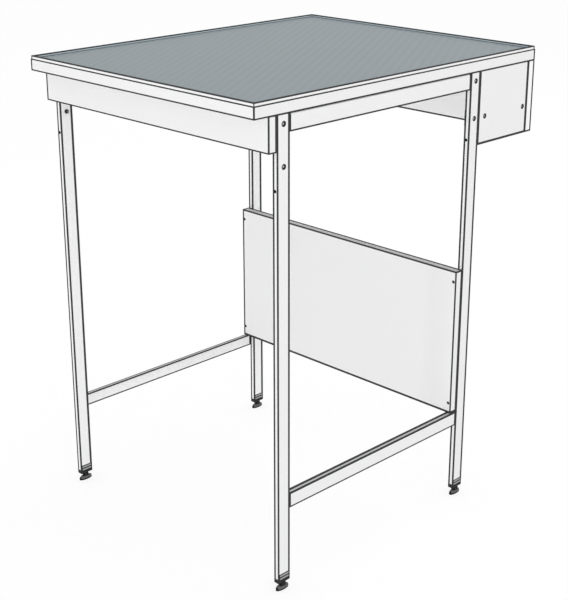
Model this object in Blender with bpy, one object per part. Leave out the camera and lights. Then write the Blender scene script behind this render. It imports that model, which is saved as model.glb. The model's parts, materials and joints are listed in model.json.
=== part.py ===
"""Wall-side laboratory bench with a trayed worktop, a rear service box and four levelling feet.

Metres, +Z up. The origin is on the floor under the middle of the worktop, +X points to the
right as seen from the front and +Y points to the wall.
"""
import math

import bmesh
import bpy
from mathutils import Matrix, Vector

MM = 0.001

# Overall size
BENCH_WIDTH = 600 * MM
BENCH_DEPTH = 750 * MM
BENCH_HEIGHT = 900 * MM

# Clearances
SEAT_GAP = 0.3 * MM
HOLE_CLEARANCE = 0.3 * MM

# Worktop
BOARD_THICKNESS = 22 * MM
BOARD_EDGE = 0.8 * MM
RIM_HEIGHT = 5.6 * MM
RIM_INSET = 1 * MM
EDGE_STRIP = 2.9 * MM
EDGE_STRIP_CORNER = 0.8 * MM
TRAY_SHEET = 0.8 * MM
TRAY_CORNER = 2.5 * MM

# Legs
LEG_WIDTH = 12 * MM
LEG_DEPTH = 28.5 * MM
LEG_WALL = 1.5 * MM
LEG_CORNER = 1 * MM
LEG_INNER_CORNER = 0.5 * MM
FRONT_LEG_SETBACK = 51 * MM
LEG_FRONT_HOLE = 5.5 * MM
LEG_FRONT_HOLE_DROP = 125 * MM

# Side rails and stretchers, which are folded angles
ANGLE_HEIGHT = 30 * MM
ANGLE_SHEET = 2 * MM
ANGLE_INNER_BEND = 1 * MM
STRETCHER_UNDERSIDE = 161.5 * MM

# Cross rails, which are square tubes with welded end plates
CROSS_RAIL_SIDE = 28 * MM
CROSS_RAIL_WALL = 1.5 * MM
CROSS_RAIL_INNER_CORNER = 0.5 * MM
CROSS_RAIL_END = 4 * MM

# White boards under the worktop
PANEL_THICKNESS = 19 * MM
APRON_HEIGHT = 60 * MM
LOWER_PANEL_HEIGHT = 300 * MM
SERVICE_HEIGHT = 139 * MM
SERVICE_DEPTH = 151.5 * MM

# Socket bolts that sit in recesses along X
BOLT_DIAMETER = 4 * MM
BOLT_HEAD_DIAMETER = 7 * MM
BOLT_HEAD_HEIGHT = 3 * MM
BOLT_HEAD_RECESS = 1.2 * MM
BOLT_SOCKET_FLATS = 3 * MM
BOLT_SOCKET_DEPTH = 1.6 * MM
BOLT_CHAMFER = 0.5 * MM
BOLT_TIP = 2 * MM
RECESS_CLEARANCE = 0.3 * MM
SLEEVE_WALL = 1.3 * MM
RAIL_BOLT_DROP = 15 * MM
LOWER_BOLT_DROP = 85.5 * MM
CHEEK_FRONT_BOLT = 17.5 * MM
CHEEK_REAR_BOLT = 13 * MM

# Plates, brackets and nuts that the bolts hold
PLATE_SHEET = 3 * MM
PLATE_INNER_BEND = 1.5 * MM
PLATE_HEIGHT = 30 * MM
PLATE_MARGIN = 10 * MM
BRACKET_HEIGHT = 80 * MM
BRACKET_FLANGE = 35 * MM
NUT_FLATS = 7 * MM
NUT_HEIGHT = 3.2 * MM

# Wood screws
SCREW_DIAMETER = 4.2 * MM
SCREW_HEAD_DIAMETER = 8 * MM
SCREW_HEAD_HEIGHT = 2.4 * MM
SCREW_CROWN_DIAMETER = 6 * MM
SCREW_POINT_DIAMETER = 0.8 * MM
SCREW_POINT_LENGTH = 4 * MM
SCREW_BITE = 12 * MM
PILOT_SPARE = 2 * MM
PANEL_SCREW_DIAMETER = 3.2 * MM
COUNTERSUNK_DIAMETER = 5.8 * MM
COUNTERSUNK_HEIGHT = 1.6 * MM
COUNTERSUNK_SINK = 0.3 * MM
PANEL_SCREW_BITE = 6 * MM
PANEL_SCREW_INSET = 22 * MM
WORKTOP_SCREW_END = 60 * MM
APRON_SCREW_INSET = 100 * MM

# Levelling feet, from the floor up
PAD_LENGTH = 30 * MM
PAD_WIDTH = 12 * MM
PAD_EDGE = 3.8 * MM
PAD_HEIGHT = 8 * MM
PAD_CHAMFER = 0.6 * MM
PAD_TOP_LENGTH = 17 * MM
PAD_TOP_WIDTH = 9 * MM
SOCKET_DEPTH = 3.6 * MM
STUD_DIAMETER = 6 * MM
STUD_LENGTH = 40 * MM
STUD_TIP_DIAMETER = 5.4 * MM
STUD_HEX_FLATS = 12 * MM
STUD_HEX_HEIGHT = 7.4 * MM
STUD_CHAMFER = 0.8 * MM
CAP_HEIGHT = 6 * MM
CAP_CHAMFER = 0.8 * MM
PLUG_DEPTH = 38 * MM
RIB_COUNT = 2
RIB_HEIGHT = 3.4 * MM
RIB_SPACE = 2.4 * MM
RIB_GROOVE = 1.2 * MM

# Facets
ROUND_SIDES = 12
FOOT_SIDES = 24
CORNER_STEPS = 3
CROWN_STEPS = 3
SMOOTH_ANGLE = math.radians(30)

# Levels and places that follow from the sizes above
RIM_BOTTOM = BENCH_HEIGHT - RIM_HEIGHT
BOARD_TOP = RIM_BOTTOM - SEAT_GAP
BOARD_BOTTOM = BOARD_TOP - BOARD_THICKNESS
FRAME_TOP = BOARD_BOTTOM - SEAT_GAP
RAIL_CENTRE = FRAME_TOP - CROSS_RAIL_SIDE / 2
RAIL_BOLT_Z = FRAME_TOP - RAIL_BOLT_DROP
LOWER_BOLT_Z = FRAME_TOP - LOWER_BOLT_DROP
LEG_FRONT_HOLE_Z = FRAME_TOP - LEG_FRONT_HOLE_DROP
STRETCHER_TOP = STRETCHER_UNDERSIDE + ANGLE_HEIGHT

NOTCH_MARGIN = LEG_WALL + LEG_INNER_CORNER
SIDE_X = BENCH_WIDTH / 2
LEG_X = SIDE_X - LEG_WIDTH / 2
LEG_INNER_X = SIDE_X - LEG_WIDTH
BOLT_SEAT_X = SIDE_X - BOLT_HEAD_RECESS - BOLT_HEAD_HEIGHT - SEAT_GAP

FRONT_Y = -BENCH_DEPTH / 2
BACK_Y = BENCH_DEPTH / 2
SERVICE_BOARD_Y = BACK_Y - PANEL_THICKNESS
FRONT_LEG_Y = FRONT_Y + FRONT_LEG_SETBACK + LEG_DEPTH / 2
REAR_LEG_Y = SERVICE_BOARD_Y - SERVICE_DEPTH - LEG_DEPTH / 2
CHEEK_FRONT_Y = REAR_LEG_Y + LEG_DEPTH / 2 + SEAT_GAP
CHEEK_BACK_Y = SERVICE_BOARD_Y - SEAT_GAP
CHEEK_BOLTS_Y = (CHEEK_FRONT_Y + CHEEK_FRONT_BOLT, CHEEK_BACK_Y - CHEEK_REAR_BOLT)

HEX_BOTTOM = PAD_HEIGHT + SEAT_GAP
HEX_TOP = HEX_BOTTOM + STUD_HEX_HEIGHT
CAP_BOTTOM = HEX_TOP + SEAT_GAP
CAP_TOP = CAP_BOTTOM + CAP_HEIGHT
LEG_END = CAP_TOP + SEAT_GAP
RIB_PITCH = RIB_HEIGHT + RIB_SPACE
RIB_ZONE = 2 * RIB_GROOVE + RIB_COUNT * RIB_PITCH - RIB_SPACE

SIDES = {"left": -1, "right": 1}
ROWS = {"front": FRONT_LEG_Y, "rear": REAR_LEG_Y}
ALONG_Y = Matrix.Rotation(math.radians(-90), 4, "X")


def remove_all_objects():
    for item in list(bpy.data.objects):
        bpy.data.objects.remove(item, do_unlink=True)


def make_material(name, colour, roughness, metallic):
    material = bpy.data.materials.new(name)
    material.use_nodes = True
    shader = material.node_tree.nodes["Principled BSDF"]
    shader.inputs["Base Color"].default_value = (*colour, 1)
    shader.inputs["Roughness"].default_value = roughness
    shader.inputs["Metallic"].default_value = metallic
    material.diffuse_color = (*colour, 1)
    return material


# Outlines, counter-clockwise in the XY plane


def rectangle(half_x, half_y, radius):
    corners = ((1, 1, 0), (-1, 1, 90), (-1, -1, 180), (1, -1, 270))
    points = []
    for sign_x, sign_y, start in corners:
        for step in range(CORNER_STEPS + 1):
            angle = math.radians(start + 90 * step / CORNER_STEPS)
            x = sign_x * (half_x - radius) + radius * math.cos(angle)
            y = sign_y * (half_y - radius) + radius * math.sin(angle)
            points.append((x, y))
    return points


def ellipse(half_x, half_y, sides=FOOT_SIDES):
    angles = [math.tau * step / sides for step in range(sides)]
    return [(half_x * math.cos(angle), half_y * math.sin(angle)) for angle in angles]


def circle(radius, sides=ROUND_SIDES):
    return ellipse(radius, radius, sides)


def hexagon(flats, sides):
    points = []
    for step in range(sides):
        angle = math.tau * step / sides
        off_flat = (angle + math.pi / 6) % (math.pi / 3) - math.pi / 6
        reach = flats / 2 / math.cos(off_flat)
        points.append((reach * math.cos(angle), reach * math.sin(angle)))
    return points


def angle_profile(flange, web, sheet, inner_bend):
    """L of a folded sheet: its web's outer face is at x = 0 and its flange's outer face at y = 0."""
    bend = sheet + inner_bend

    def arc(radius):
        turns = [math.radians(90 * step / CORNER_STEPS) for step in range(CORNER_STEPS + 1)]
        return [(radius * math.sin(turn) - bend, radius * math.cos(turn) - bend) for turn in turns]

    inside = [(-flange, -sheet), *arc(inner_bend), (-sheet, -web)]
    outside = [(0, -web), *reversed(arc(bend)), (-flange, 0)]
    return inside + outside


# Meshes


def stack(sections, ring=False):
    """Closed mesh through sections of (height, outline); a ring joins its last one to its first."""
    mesh = bmesh.new()
    loops = [[mesh.verts.new((x, y, height)) for x, y in outline] for height, outline in sections]
    pairs = list(zip(loops, loops[1:]))
    if ring:
        pairs.append((loops[-1], loops[0]))
    else:
        mesh.faces.new(loops[0])
        mesh.faces.new(loops[-1])
    for lower, upper in pairs:
        for index in range(len(lower)):
            following = (index + 1) % len(lower)
            mesh.faces.new((lower[index], lower[following], upper[following], upper[index]))
    bmesh.ops.recalc_face_normals(mesh, faces=mesh.faces)
    return mesh


def turned(profile):
    return stack([(height, circle(radius)) for radius, height in profile])


def block(low, high, edge=0.0):
    """Box between two corners, with its edges rounded by the given radius."""
    low = Vector(low)
    high = Vector(high)
    mesh = bmesh.new()
    bmesh.ops.create_cube(mesh, size=1)
    bmesh.ops.scale(mesh, vec=high - low, verts=mesh.verts)
    bmesh.ops.translate(mesh, vec=(low + high) / 2, verts=mesh.verts)
    if edge > 0:
        bmesh.ops.bevel(mesh, geom=mesh.edges[:], offset=edge, segments=2, profile=0.5, affect="EDGES")
    return mesh


def placed(mesh, place):
    mesh.transform(place)
    return mesh


def outward(side):
    """Turns +Z to the outside of the bench on one side."""
    return Matrix.Rotation(math.radians(90 * side), 4, "Y")


def add_object(name, mesh, material, place=Matrix(), parent=None):
    data = bpy.data.meshes.new(name)
    mesh.to_mesh(data)
    mesh.free()
    data.materials.append(material)
    data.shade_smooth()
    data.set_sharp_from_angle(angle=SMOOTH_ANGLE)
    item = bpy.data.objects.new(name, data)
    bpy.context.scene.collection.objects.link(item)
    item.parent = parent
    item.matrix_world = place
    return item


def combine(target, operation, meshes, name):
    """Joins separate helper meshes into one hidden object and adds or takes them from the target."""
    joined = bmesh.new()
    for mesh in meshes:
        data = bpy.data.meshes.new(name)
        mesh.to_mesh(data)
        mesh.free()
        joined.from_mesh(data)
        bpy.data.meshes.remove(data)
    helper_data = bpy.data.meshes.new(name)
    joined.to_mesh(helper_data)
    joined.free()
    helper = bpy.data.objects.new(name, helper_data)
    bpy.context.scene.collection.objects.link(helper)
    helper.hide_render = True
    helper.display_type = "WIRE"
    modifier = target.modifiers.new(name, "BOOLEAN")
    modifier.operation = operation
    modifier.solver = "EXACT"
    modifier.object = helper


def cut(target, meshes):
    combine(target, "DIFFERENCE", meshes, target.name + "_cutter")


def hole(diameter, start, length, direction):
    """Round cutter from a start point over a length along a direction matrix's +Z."""
    cutter = turned([(diameter / 2, 0), (diameter / 2, length)])
    return placed(cutter, Matrix.Translation(start) @ direction)


# Bolts along X


def bolt_place(side, y, z, x=BOLT_SEAT_X + SEAT_GAP):
    return Matrix.Translation((side * x, y, z)) @ outward(side)


def bolt_recess(side, y, z):
    """Stepped cutter for a bolt's head and shank, through a piece as wide as a leg."""
    shank = BOLT_DIAMETER / 2 + HOLE_CLEARANCE
    head = BOLT_HEAD_DIAMETER / 2 + RECESS_CLEARANCE
    through = LEG_WIDTH
    outside = BOLT_HEAD_RECESS + BOLT_HEAD_HEIGHT + LEG_WALL
    profile = [(shank, -through), (shank, 0), (head, 0), (head, outside)]
    return placed(turned(profile), bolt_place(side, y, z, BOLT_SEAT_X))


def make_bolt(name, side, y, z, end_x, material):
    """Socket bolt whose head sits in its recess and whose shank ends at end_x."""
    length = BOLT_SEAT_X + SEAT_GAP - end_x
    shank = BOLT_DIAMETER / 2
    head = BOLT_HEAD_DIAMETER / 2
    sections = [
        (-length, circle(shank - BOLT_CHAMFER)),
        (-length + BOLT_CHAMFER, circle(shank)),
        (0, circle(shank)),
        (0, circle(head)),
        (BOLT_HEAD_HEIGHT - BOLT_CHAMFER, circle(head)),
        (BOLT_HEAD_HEIGHT, circle(head - BOLT_CHAMFER)),
        (BOLT_HEAD_HEIGHT, hexagon(BOLT_SOCKET_FLATS, ROUND_SIDES)),
        (BOLT_HEAD_HEIGHT - BOLT_SOCKET_DEPTH, hexagon(BOLT_SOCKET_FLATS, ROUND_SIDES)),
    ]
    add_object(name, stack(sections), material, bolt_place(side, y, z))


def weld_nut(side, y, z):
    """Boss on the inner face of a plate that lies against a leg or a cheek."""
    plate_inner_x = LEG_INNER_X - SEAT_GAP - PLATE_SHEET
    boss = stack([
        (-NUT_HEIGHT, hexagon(NUT_FLATS, FOOT_SIDES)),
        (PLATE_SHEET / 2, hexagon(NUT_FLATS, FOOT_SIDES)),
    ])
    return placed(boss, bolt_place(side, y, z, plate_inner_x))


PLATE_BOLT_END_X = LEG_INNER_X - SEAT_GAP - PLATE_SHEET - NUT_HEIGHT - BOLT_TIP
CROSS_BOLT_END_X = LEG_INNER_X - SEAT_GAP - CROSS_RAIL_END - BOLT_TIP
LINK_BOLT_END_X = LEG_INNER_X - SEAT_GAP - NUT_HEIGHT - BOLT_TIP


# Wood screws


def make_screw(name, place, grip, material):
    """Pan-head screw along +Z from its seat at the origin, through a grip and into a board."""
    shank = SCREW_DIAMETER / 2
    head = SCREW_HEAD_DIAMETER / 2
    length = grip + SCREW_BITE
    profile = [
        (SCREW_CROWN_DIAMETER / 2, -SCREW_HEAD_HEIGHT),
        (head, -SCREW_HEAD_HEIGHT / 2),
        (head, 0),
        (shank, 0),
        (shank, length - SCREW_POINT_LENGTH),
        (SCREW_POINT_DIAMETER / 2, length),
    ]
    add_object(name, turned(profile), material, place)


def screw_hole(place, start, end, diameter=SCREW_DIAMETER):
    radius = diameter / 2 + HOLE_CLEARANCE
    return placed(turned([(radius, start), (radius, end)]), place)


# Worktop


def make_worktop(materials):
    board = block(
        (-SIDE_X, FRONT_Y, BOARD_BOTTOM), (SIDE_X, BACK_Y, BOARD_TOP), BOARD_EDGE
    )
    board = add_object("worktop_board", board, materials["white_board"])
    depth = WORKTOP_SCREW_GRIP + SCREW_BITE + PILOT_SPARE
    cut(board, [screw_hole(place, 0, depth) for place in worktop_screws().values()])

    def rim(inset, corner=TRAY_CORNER):
        return rectangle(SIDE_X - inset, BACK_Y - inset, corner)

    strip_inset = RIM_INSET + EDGE_STRIP
    tray_inset = strip_inset + SEAT_GAP
    strip = [
        (RIM_BOTTOM, rim(RIM_INSET, EDGE_STRIP_CORNER)),
        (BENCH_HEIGHT, rim(RIM_INSET, EDGE_STRIP_CORNER)),
        (BENCH_HEIGHT, rim(strip_inset)),
        (RIM_BOTTOM, rim(strip_inset)),
    ]
    add_object("worktop_edge_frame", stack(strip, ring=True), materials["white_edging"])
    tray = [
        (RIM_BOTTOM, rim(tray_inset)),
        (BENCH_HEIGHT, rim(tray_inset)),
        (BENCH_HEIGHT, rim(tray_inset + TRAY_SHEET)),
        (RIM_BOTTOM + TRAY_SHEET, rim(tray_inset + TRAY_SHEET)),
    ]
    add_object("worktop_tray", stack(tray), materials["blue_grey_tray"])


WORKTOP_SCREW_GRIP = ANGLE_SHEET + 2 * SEAT_GAP


def worktop_screws():
    """Seat of each screw that holds the worktop, up through the clear part of a top rail's flange."""
    x = SIDE_X - (LEG_WIDTH + ANGLE_SHEET) / 2
    seat_z = BOARD_BOTTOM - WORKTOP_SCREW_GRIP
    ends = {
        "front": FRONT_LEG_Y + LEG_DEPTH / 2 + WORKTOP_SCREW_END,
        "rear": REAR_LEG_Y - LEG_DEPTH / 2 - WORKTOP_SCREW_END,
    }
    screws = {}
    for side_name, side in SIDES.items():
        for row_name, y in ends.items():
            place = Matrix.Translation((side * x, y, seat_z))
            screws[f"{side_name}_{row_name}_worktop_screw"] = place
    return screws


# Side frames


def make_leg(row_name, side_name, materials):
    side = SIDES[side_name]
    y = ROWS[row_name]
    outer = rectangle(LEG_WIDTH / 2, LEG_DEPTH / 2, LEG_CORNER)
    inner = rectangle(LEG_WIDTH / 2 - LEG_WALL, LEG_DEPTH / 2 - LEG_WALL, LEG_INNER_CORNER)
    tube = stack([(LEG_END, outer), (FRAME_TOP, outer), (FRAME_TOP, inner), (LEG_END, inner)], ring=True)
    place = Matrix.Translation((side * LEG_X, y, 0))
    leg = add_object(f"{side_name}_{row_name}_leg", tube, materials["white_steel"], place)

    bolts_z = (RAIL_BOLT_Z, LOWER_BOLT_Z)
    sleeve = BOLT_HEAD_DIAMETER / 2 + RECESS_CLEARANCE + SLEEVE_WALL
    half_span = (LEG_WIDTH - LEG_WALL) / 2
    sleeves = []
    for z in bolts_z:
        tube_sleeve = turned([(sleeve, -half_span), (sleeve, half_span)])
        sleeves.append(placed(tube_sleeve, bolt_place(side, y, z, LEG_X)))
    combine(leg, "UNION", sleeves, leg.name + "_sleeves")

    cutters = [bolt_recess(side, y, z) for z in bolts_z]
    face_y = y - LEG_DEPTH / 2
    start = Vector((side * LEG_X, face_y - LEG_WALL, LEG_FRONT_HOLE_Z))
    cutters.append(hole(LEG_FRONT_HOLE, start, 3 * LEG_WALL, ALONG_Y))
    notch = Vector((LEG_WIDTH, LEG_DEPTH / 2 - NOTCH_MARGIN, RIB_ZONE))
    end = Vector((side * LEG_X, y, LEG_END))
    cutters.append(block(end - notch, end + notch))
    if row_name == "rear":
        wall_end = PANEL_THICKNESS + 3 * LEG_WALL
        cutters += [screw_hole(place, PANEL_THICKNESS, wall_end, PANEL_SCREW_DIAMETER)
                    for name, place in panel_screws().items() if name.startswith(side_name)]
    cut(leg, cutters)


def make_angle(name, side, top, material):
    """Folded angle between the front and the rear leg, its web flush with their outer faces."""
    start = FRONT_LEG_Y + LEG_DEPTH / 2 + SEAT_GAP
    length = REAR_LEG_Y - LEG_DEPTH / 2 - SEAT_GAP - start
    profile = angle_profile(LEG_WIDTH, ANGLE_HEIGHT, ANGLE_SHEET, ANGLE_INNER_BEND)
    profile = [(side * x, -y) for x, y in profile]
    place = Matrix.Translation((side * SIDE_X, start, top)) @ ALONG_Y
    return add_object(name, stack([(0, profile), (length, profile)]), material, place)


def make_side_frame(side_name, materials):
    side = SIDES[side_name]
    steel = materials["white_steel"]
    for row_name in ROWS:
        make_leg(row_name, side_name, materials)
    rail = make_angle(f"{side_name}_top_rail", side, FRAME_TOP, steel)
    screws = {name: place for name, place in worktop_screws().items() if name.startswith(side_name)}
    cut(rail, [screw_hole(place, -SEAT_GAP, 2 * WORKTOP_SCREW_GRIP) for place in screws.values()])
    for name, place in screws.items():
        make_screw(name, place, WORKTOP_SCREW_GRIP, materials["zinc_steel"])
    make_angle(f"{side_name}_stretcher", side, STRETCHER_TOP, steel)


# Cross rails and the apron


def apron_screws():
    seat_y = FRONT_LEG_Y + CROSS_RAIL_SIDE / 2 + SEAT_GAP
    turn = Matrix.Rotation(math.radians(90), 4, "X")
    return {
        f"{side_name}_apron_screw":
        Matrix.Translation((side * (SIDE_X - APRON_SCREW_INSET), seat_y, RAIL_CENTRE)) @ turn
        for side_name, side in SIDES.items()
    }


APRON_BACK_Y = FRONT_LEG_Y - max(LEG_DEPTH, CROSS_RAIL_SIDE) / 2 - SEAT_GAP
APRON_SCREW_GRIP = FRONT_LEG_Y + CROSS_RAIL_SIDE / 2 + SEAT_GAP - APRON_BACK_Y


def make_cross_rail(row_name, materials):
    y = ROWS[row_name]
    half = LEG_INNER_X - SEAT_GAP
    half_side = CROSS_RAIL_SIDE / 2
    outer = rectangle(half_side, half_side, CROSS_RAIL_INNER_CORNER + CROSS_RAIL_WALL)
    place = Matrix.Translation((0, y, RAIL_CENTRE)) @ outward(1)
    tube = stack([(-half, outer), (half, outer)])
    rail = add_object(f"{row_name}_cross_rail", tube, materials["white_steel"], place)

    cavity_side = half_side - CROSS_RAIL_WALL
    cavity_end = half - CROSS_RAIL_END
    cavity = rectangle(cavity_side, cavity_side, CROSS_RAIL_INNER_CORNER)
    hollow = placed(stack([(-cavity_end, cavity), (cavity_end, cavity)]), place)
    combine(rail, "DIFFERENCE", [hollow], rail.name + "_cavity")

    holes = []
    for side in SIDES.values():
        start = (side * (half - 2 * CROSS_RAIL_END), y, RAIL_BOLT_Z)
        holes.append(hole(BOLT_DIAMETER + 2 * HOLE_CLEARANCE, start, 3 * CROSS_RAIL_END, outward(side)))
    if row_name == "front":
        through = CROSS_RAIL_SIDE + CROSS_RAIL_WALL
        holes += [screw_hole(place, -CROSS_RAIL_WALL, through) for place in apron_screws().values()]
    cut(rail, holes)

    for side_name, side in SIDES.items():
        name = f"{side_name}_{row_name}_rail_bolt"
        make_bolt(name, side, y, RAIL_BOLT_Z, CROSS_BOLT_END_X, materials["zinc_steel"])


def make_apron(materials):
    board = block(
        (-SIDE_X, APRON_BACK_Y - PANEL_THICKNESS, FRAME_TOP - APRON_HEIGHT),
        (SIDE_X, APRON_BACK_Y, FRAME_TOP),
        BOARD_EDGE,
    )
    apron = add_object("front_apron", board, materials["white_board"])
    pilot_end = APRON_SCREW_GRIP + SCREW_BITE + PILOT_SPARE
    cut(apron, [screw_hole(place, 0, pilot_end) for place in apron_screws().values()])
    for name, place in apron_screws().items():
        make_screw(name, place, APRON_SCREW_GRIP, materials["zinc_steel"])


# Lower rear panel


PANEL_BACK_Y = REAR_LEG_Y - LEG_DEPTH / 2 - SEAT_GAP
PANEL_BOTTOM = STRETCHER_TOP + SEAT_GAP


def panel_screws():
    """Place of each panel screw: its +Z runs to the rear from the panel's front face."""
    heights = {
        "lower": PANEL_BOTTOM + PANEL_SCREW_INSET,
        "upper": PANEL_BOTTOM + LOWER_PANEL_HEIGHT - PANEL_SCREW_INSET,
    }
    places = {}
    for side_name, side in SIDES.items():
        for level, z in heights.items():
            point = (side * LEG_X, PANEL_BACK_Y - PANEL_THICKNESS, z)
            places[f"{side_name}_{level}_panel_screw"] = Matrix.Translation(point) @ ALONG_Y
    return places


def make_lower_panel(materials):
    board = block(
        (-SIDE_X, PANEL_BACK_Y - PANEL_THICKNESS, PANEL_BOTTOM),
        (SIDE_X, PANEL_BACK_Y, PANEL_BOTTOM + LOWER_PANEL_HEIGHT),
        BOARD_EDGE,
    )
    panel = add_object("lower_rear_panel", board, materials["white_board"])
    shank = PANEL_SCREW_DIAMETER / 2
    head = COUNTERSUNK_DIAMETER / 2
    sink = COUNTERSUNK_SINK
    cone_end = sink + COUNTERSUNK_HEIGHT
    loose = HOLE_CLEARANCE
    seat = [
        (head + loose, -COUNTERSUNK_HEIGHT),
        (head + loose, sink + loose),
        (shank + loose, cone_end + loose),
        (shank + loose, PANEL_THICKNESS + COUNTERSUNK_HEIGHT),
    ]
    cut(panel, [placed(turned(seat), place) for place in panel_screws().values()])
    length = PANEL_THICKNESS + SEAT_GAP + LEG_WALL + PANEL_SCREW_BITE
    screw = [
        (head, sink),
        (shank, cone_end),
        (shank, length - SCREW_POINT_LENGTH),
        (SCREW_POINT_DIAMETER / 2, length),
    ]
    for name, place in panel_screws().items():
        add_object(name, turned(screw), materials["zinc_steel"], place)


# Service box behind the rear legs


SERVICE_BOTTOM = FRAME_TOP - SERVICE_HEIGHT
BRACKET_BACK_Y = SERVICE_BOARD_Y - SEAT_GAP
PLATE_OUTER_X = LEG_INNER_X - SEAT_GAP
PLATE_INNER_X = PLATE_OUTER_X - PLATE_SHEET


def back_board_screws():
    """Place of each screw from a corner bracket into the back board: +Z runs to the rear."""
    x = PLATE_OUTER_X - BRACKET_FLANGE / 2
    y = BRACKET_BACK_Y - PLATE_SHEET - SEAT_GAP
    return {
        f"{side_name}_back_board_screw": Matrix.Translation((side * x, y, LOWER_BOLT_Z)) @ ALONG_Y
        for side_name, side in SIDES.items()
    }


BACK_BOARD_GRIP = PLATE_SHEET + 2 * SEAT_GAP


def mirrored(side, low, high):
    """Corners of a box given on the right, moved to the asked side."""
    if side > 0:
        return low, high
    return (-high[0], *low[1:]), (-low[0], *high[1:])


def make_cheek(side_name, materials):
    side = SIDES[side_name]
    low = (LEG_INNER_X, CHEEK_FRONT_Y, SERVICE_BOTTOM)
    high = (SIDE_X, CHEEK_BACK_Y, FRAME_TOP)
    board = block(*mirrored(side, low, high), BOARD_EDGE)
    cheek = add_object(f"{side_name}_cheek", board, materials["white_board"])
    cut(cheek, [bolt_recess(side, y, LOWER_BOLT_Z) for y in CHEEK_BOLTS_Y])
    for row_name, y in zip(ROWS, CHEEK_BOLTS_Y):
        name = f"{side_name}_{row_name}_cheek_bolt"
        make_bolt(name, side, y, LOWER_BOLT_Z, PLATE_BOLT_END_X, materials["zinc_steel"])


def bolt_hole(side, y):
    """Clearance hole for a bolt through a plate and the nut welded to it."""
    start = (side * (PLATE_INNER_X - 2 * NUT_HEIGHT), y, LOWER_BOLT_Z)
    length = 3 * NUT_HEIGHT + PLATE_SHEET
    return hole(BOLT_DIAMETER + 2 * HOLE_CLEARANCE, start, length, outward(side))


def make_joining_plate(side_name, materials):
    """Plate with welded nuts that ties a cheek to the rear leg in front of it."""
    side = SIDES[side_name]
    bolts_y = (REAR_LEG_Y, CHEEK_BOLTS_Y[0])
    low = (PLATE_INNER_X, bolts_y[0] - PLATE_MARGIN, LOWER_BOLT_Z - PLATE_HEIGHT / 2)
    high = (PLATE_OUTER_X, bolts_y[1] + PLATE_MARGIN, LOWER_BOLT_Z + PLATE_HEIGHT / 2)
    mesh = block(*mirrored(side, low, high))
    plate = add_object(f"{side_name}_joining_plate", mesh, materials["white_steel"])
    combine(plate, "UNION", [weld_nut(side, y, LOWER_BOLT_Z) for y in bolts_y], plate.name + "_nuts")
    cut(plate, [bolt_hole(side, y) for y in bolts_y])
    name = f"{side_name}_plate_bolt"
    make_bolt(name, side, REAR_LEG_Y, LOWER_BOLT_Z, PLATE_BOLT_END_X, materials["zinc_steel"])


def make_corner_bracket(side_name, materials):
    """Angle with a welded nut that ties a cheek to the back board."""
    side = SIDES[side_name]
    profile = angle_profile(BRACKET_FLANGE, BRACKET_FLANGE, PLATE_SHEET, PLATE_INNER_BEND)
    profile = [(side * x, y) for x, y in profile]
    low = LOWER_BOLT_Z - BRACKET_HEIGHT / 2
    mesh = stack([(0, profile), (BRACKET_HEIGHT, profile)])
    place = Matrix.Translation((side * PLATE_OUTER_X, BRACKET_BACK_Y, low))
    bracket = add_object(f"{side_name}_corner_bracket", mesh, materials["white_steel"], place)
    bolt_y = CHEEK_BOLTS_Y[1]
    combine(bracket, "UNION", [weld_nut(side, bolt_y, LOWER_BOLT_Z)], bracket.name + "_nut")
    screw_name = f"{side_name}_back_board_screw"
    screw_place = back_board_screws()[screw_name]
    cut(bracket, [bolt_hole(side, bolt_y), screw_hole(screw_place, -SEAT_GAP, 2 * BACK_BOARD_GRIP)])
    make_screw(screw_name, screw_place, BACK_BOARD_GRIP, materials["zinc_steel"])


def make_service_box(materials):
    board = block(
        (-SIDE_X, SERVICE_BOARD_Y, SERVICE_BOTTOM), (SIDE_X, BACK_Y, FRAME_TOP), BOARD_EDGE
    )
    board = add_object("service_back_board", board, materials["white_board"])
    pilot_end = BACK_BOARD_GRIP + SCREW_BITE + PILOT_SPARE
    cut(board, [screw_hole(place, 0, pilot_end) for place in back_board_screws().values()])
    for side_name in SIDES:
        make_cheek(side_name, materials)
        make_joining_plate(side_name, materials)
        make_corner_bracket(side_name, materials)


# Link bolts through the front legs, for a neighbouring bench


def make_link_bolt(side_name, materials):
    side = SIDES[side_name]
    zinc = materials["zinc_steel"]
    make_bolt(f"{side_name}_link_bolt", side, FRONT_LEG_Y, LOWER_BOLT_Z, LINK_BOLT_END_X, zinc)
    hex_outline = hexagon(NUT_FLATS, FOOT_SIDES)
    bore = circle(BOLT_DIAMETER / 2 + HOLE_CLEARANCE, FOOT_SIDES)
    nut = stack([(-NUT_HEIGHT, hex_outline), (0, hex_outline), (0, bore), (-NUT_HEIGHT, bore)], ring=True)
    place = bolt_place(side, FRONT_LEG_Y, LOWER_BOLT_Z, LEG_INNER_X - SEAT_GAP)
    add_object(f"{side_name}_link_nut", nut, zinc, place)


# Levelling feet


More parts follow.
